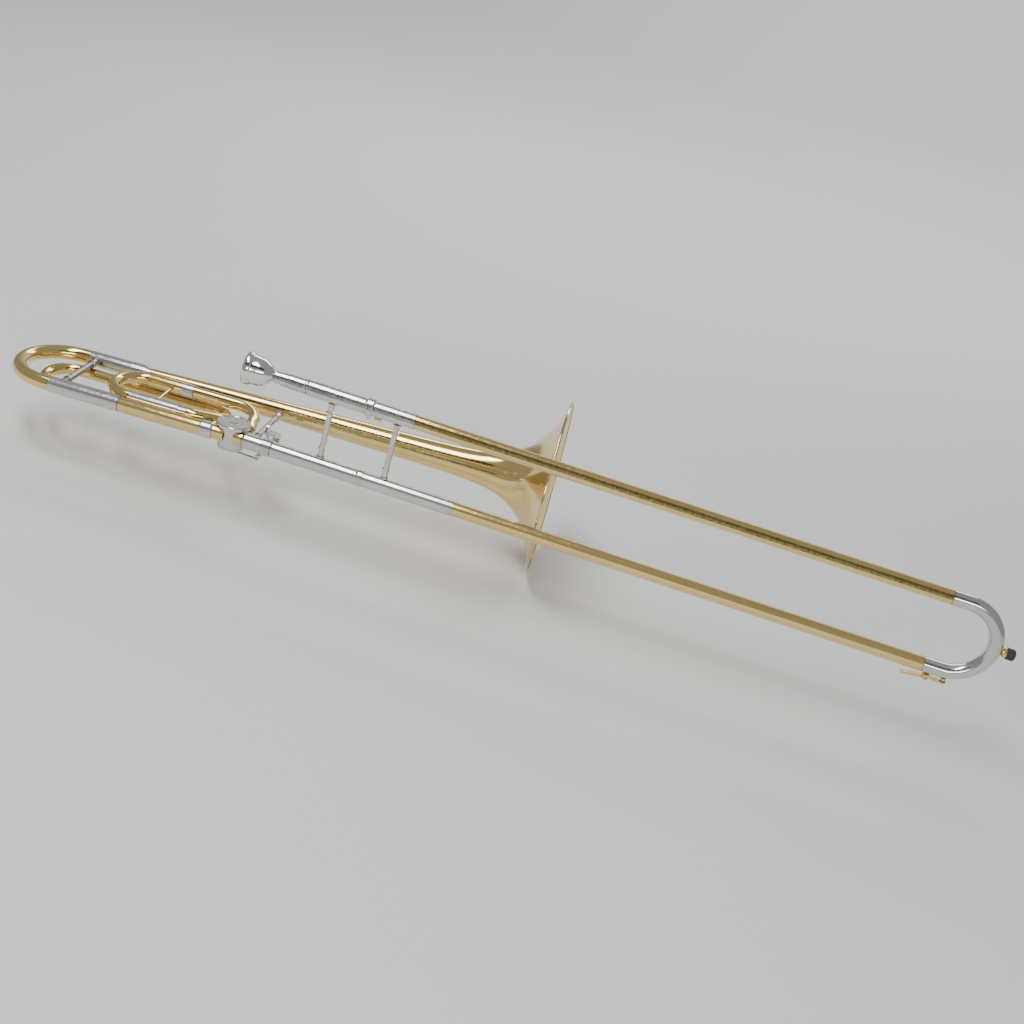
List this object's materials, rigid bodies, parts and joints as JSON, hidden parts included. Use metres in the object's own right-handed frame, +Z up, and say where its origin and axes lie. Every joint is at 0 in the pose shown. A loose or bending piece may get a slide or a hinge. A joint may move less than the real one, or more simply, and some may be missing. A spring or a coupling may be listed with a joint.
{
  "type": "trombone",
  "caption": "Tenor trombone with rotary F attachment, lacquered brass with nickel silver sleeves, long hand slide, flared bell and silver mouthpiece",
  "frame": {"origin": "On the axis of the lower hand-slide tube, where the valve section meets the slide receiver, at the left hand's grip.", "axes": "+X along the hand slide to the end bow, +Z up from the lower slide tube to the mouthpiece tube, +Y to the bell side."},
  "size_m": [1.1823, 0.2389, 0.209],
  "materials": {
    "lacquered_brass": "polished, clear lacquer",
    "nickel_silver": "polished nickel silver",
    "dark_nickel": "satin",
    "chromed_tube": "polished",
    "silver_plate": "polished silver plate",
    "spring_steel": "satin",
    "black_rubber": "matte",
    "cork": "matte"
  },
  "bodies": {
    "instrument": {"bell": "lacquered_brass", "bell_brace": "nickel_silver", "bell_sleeve": "nickel_silver", "f_far_inner_tube": "nickel_silver", "f_front_crook": "lacquered_brass", "f_front_knuckle": "nickel_silver", "f_near_inner_tube": "nickel_silver", "f_port_tube": "lacquered_brass", "f_rear_crook": "lacquered_brass", "f_rear_knuckle": "nickel_silver", "f_return_tube": "lacquered_brass", "f_upper_tube": "lacquered_brass", "gooseneck": "lacquered_brass", "gooseneck_ferrule": "nickel_silver", "gooseneck_knuckle": "lacquered_brass", "gooseneck_sleeve": "nickel_silver", "inner_brace": "nickel_silver", "lower_cork_barrel": "nickel_silver", "lower_inner_tube": "chromed_tube", "mouthpiece_receiver": "nickel_silver", "receiver_knuckle": "lacquered_brass", "slide_receiver": "nickel_silver", "stop_bumper_pressed": "cork", "stop_bumper_rest": "cork", "trigger_saddle": "nickel_silver", "trigger_screw": "nickel_silver", "trigger_spring": "spring_steel", "upper_cork_barrel": "nickel_silver", "upper_inner_tube": "chromed_tube", "valve_back_plate": "nickel_silver", "valve_cap": "nickel_silver", "valve_casing": "nickel_silver"},
    "outer_slide": {"upper_grip_sleeve": "nickel_silver", "lower_grip_sleeve": "nickel_silver", "upper_outer_tube": "lacquered_brass", "lower_outer_tube": "lacquered_brass", "end_bow": "nickel_silver", "bumper_socket": "lacquered_brass", "bow_bumper": "black_rubber", "outer_brace": "nickel_silver", "lock_catch": "lacquered_brass", "water_key_nipple": "lacquered_brass", "water_key_saddle": "lacquered_brass"},
    "slide_lock": {"slide_lock_ring": "nickel_silver"},
    "tuning_slide": {"tuning_neck_leg": "nickel_silver", "tuning_bell_leg": "nickel_silver", "tuning_crook": "lacquered_brass", "tuning_brace": "dark_nickel"},
    "f_tuning_slide": {"f_slide_crook": "lacquered_brass", "f_slide_near_leg": "nickel_silver", "f_slide_far_leg": "lacquered_brass", "f_slide_brace": "lacquered_brass"},
    "trigger": {"trigger_lever": "nickel_silver"},
    "rotor": {"valve_rotor": "lacquered_brass", "stop_arm": "nickel_silver"},
    "link": {"link_rod": "nickel_silver"},
    "water_key": {"water_key_lever": "lacquered_brass", "water_key_cork": "cork"},
    "mouthpiece": {"mouthpiece": "silver_plate"},
    "lock_nut": {"bell_lock_nut": "nickel_silver"}
  },
  "joints": [
    {"name": "outer_slide_travel", "type": "slide", "parent": "instrument", "child": "outer_slide", "axis": [1, 0, 0], "range_m": [0, 0.6]},
    {"name": "lock_ring_turn", "type": "hinge", "parent": "instrument", "child": "slide_lock", "pos_m": [0.1357, 0, 0.086], "axis": [1, 0, 0], "range_deg": [0, 40]},
    {"name": "tuning_slide_pull", "type": "slide", "parent": "instrument", "child": "tuning_slide", "axis": [-0.9993, 0, -0.0384], "range_m": [0, 0.045]},
    {"name": "f_slide_pull", "type": "slide", "parent": "instrument", "child": "f_tuning_slide", "axis": [-0.9993, 0, -0.0384], "range_m": [0, 0.025]},
    {"name": "trigger_press", "type": "hinge", "parent": "instrument", "child": "trigger", "pos_m": [0.02675, 0.05, -0.01899], "axis": [-0.0384, 0, 0.9993], "range_deg": [0, 22.5], "stiffness_Nm_per_rad": 0.25, "springref_deg": -11.46},
    {"name": "rotor_turn", "type": "hinge", "parent": "instrument", "child": "rotor", "pos_m": [-0.01399, 0.009, -0.00054], "axis": [-0.0384, 0, 0.9993], "range_deg": [-90, 0]},
    {"name": "link_turn", "type": "hinge", "parent": "trigger", "child": "link", "pos_m": [0.01909, 0.0108, -0.02288], "axis": [-0.0384, 0, 0.9993], "range_deg": [-22.5, 0]},
    {"name": "water_key_press", "type": "hinge", "parent": "outer_slide", "child": "water_key", "pos_m": [0.806, 0, -0.013], "axis": [0, 1, 0], "range_deg": [0, 13], "stiffness_Nm_per_rad": 0.03, "springref_deg": -17.19},
    {"name": "mouthpiece_pull", "type": "slide", "parent": "instrument", "child": "mouthpiece", "axis": [-1, 0, 0], "range_m": [0, 0.035]},
    {"name": "lock_nut_turn", "type": "hinge", "parent": "instrument", "child": "lock_nut", "pos_m": [0.031, 0, 0], "axis": [1, 0, 0], "continuous": true}
  ],
  "couplings": [
    {"joint": "rotor_turn", "follows": "trigger_press", "ratio": -4},
    {"joint": "link_turn", "follows": "trigger_press", "ratio": -1}
  ]
}
